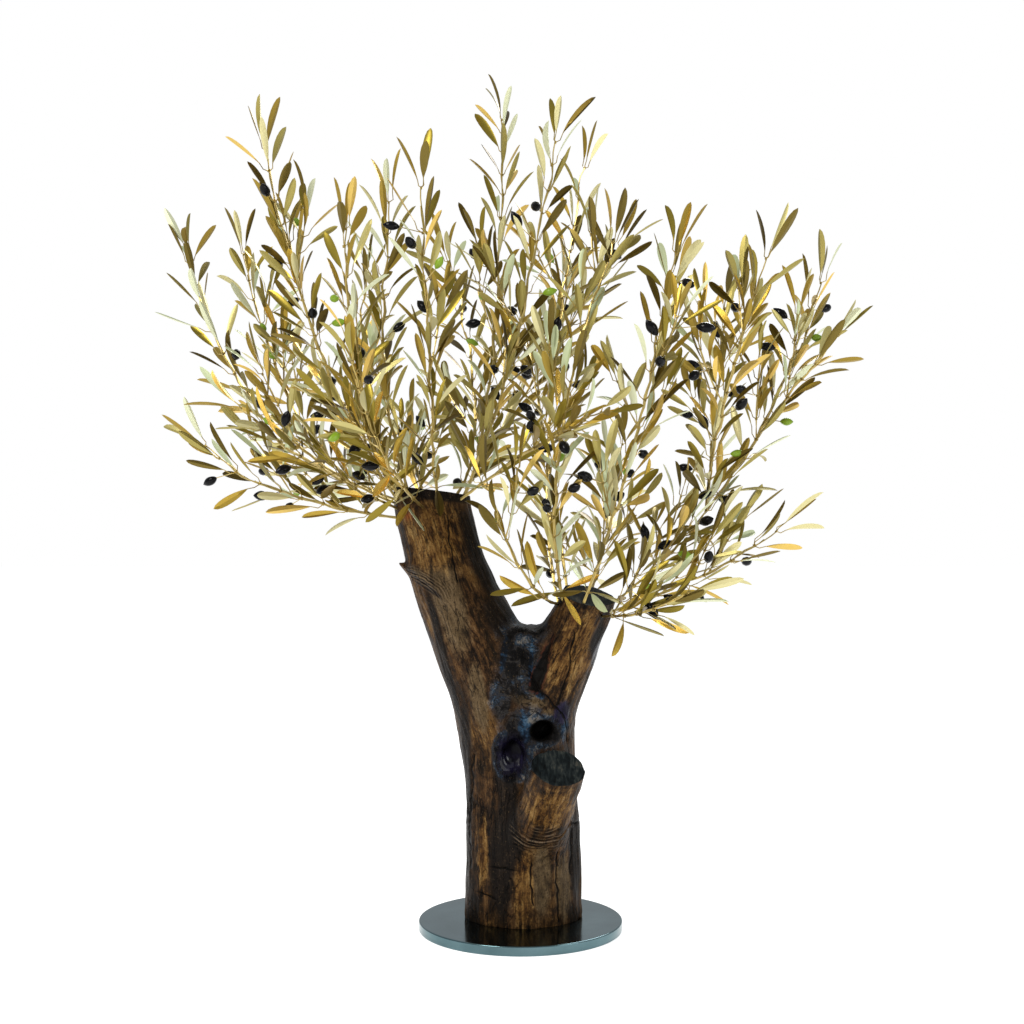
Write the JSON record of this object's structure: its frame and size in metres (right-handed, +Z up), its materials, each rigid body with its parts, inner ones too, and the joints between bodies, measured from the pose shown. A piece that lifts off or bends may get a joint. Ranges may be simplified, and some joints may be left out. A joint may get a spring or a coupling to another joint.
{
  "type": "artificial olive tree",
  "caption": "Artificial olive tree: a stained wood trunk with sawn arms on a round steel plate, carrying sprays of brass leaves and dark olives.",
  "frame": {"origin": "centre of the steel plate's flat underside", "axes": "+Z up along the tree, front towards -Y, +X to the right as seen from the front"},
  "size_m": [1.0452, 0.7578, 1.2757],
  "materials": {
    "plate_steel": "satin, dark grey",
    "stained_wood": "debarked, dark stained and varnished to a satin sheen",
    "brass_wire": "aged satin brass",
    "brass_leaves": "thin brass sheet leaves, bronze to pale sage"
  },
  "bodies": {
    "root": {"base_plate": "plate_steel", "trunk": "stained_wood", "arm_left": "stained_wood", "arm_right": "stained_wood", "side_stub": "stained_wood", "stem_left_low": "brass_wire", "stem_left_mid": "brass_wire", "stem_left_upper": "brass_wire", "stem_left_rear": "brass_wire", "stem_left_high": "brass_wire", "stem_left_front": "brass_wire", "stem_left_back": "brass_wire", "stem_back_low": "brass_wire", "stem_front_low": "brass_wire", "stem_centre_left": "brass_wire", "stem_centre_front": "brass_wire", "stem_centre_back": "brass_wire", "stem_centre_high": "brass_wire", "stem_centre_right": "brass_wire", "stem_crossing_high": "brass_wire", "stem_crossing_low": "brass_wire", "stem_inner_left": "brass_wire", "stem_inner_back": "brass_wire", "stem_inner_high": "brass_wire", "stem_right_tall": "brass_wire", "stem_right_high": "brass_wire", "stem_right_back": "brass_wire", "stem_right_fork": "brass_wire", "stem_right_low": "brass_wire", "stem_right_lowest": "brass_wire", "foliage_left_low": "brass_leaves", "foliage_left_mid": "brass_leaves", "foliage_left_upper": "brass_leaves", "foliage_left_rear": "brass_leaves", "foliage_left_high": "brass_leaves", "foliage_left_front": "brass_leaves", "foliage_left_back": "brass_leaves", "foliage_back_low": "brass_leaves", "foliage_front_low": "brass_leaves", "foliage_centre_left": "brass_leaves", "foliage_centre_front": "brass_leaves", "foliage_centre_back": "brass_leaves", "foliage_centre_high": "brass_leaves", "foliage_centre_right": "brass_leaves", "foliage_crossing_high": "brass_leaves", "foliage_crossing_low": "brass_leaves", "foliage_inner_left": "brass_leaves", "foliage_inner_back": "brass_leaves", "foliage_inner_high": "brass_leaves", "foliage_right_tall": "brass_leaves", "foliage_right_high": "brass_leaves", "foliage_right_back": "brass_leaves", "foliage_right_fork": "brass_leaves", "foliage_right_low": "brass_leaves", "foliage_right_lowest": "brass_leaves", "foliage_fork_back": "brass_leaves", "foliage_fork_front": "brass_leaves", "foliage_fork_far": "brass_leaves", "foliage_fork_out": "brass_leaves"}
  },
  "joints": []
}
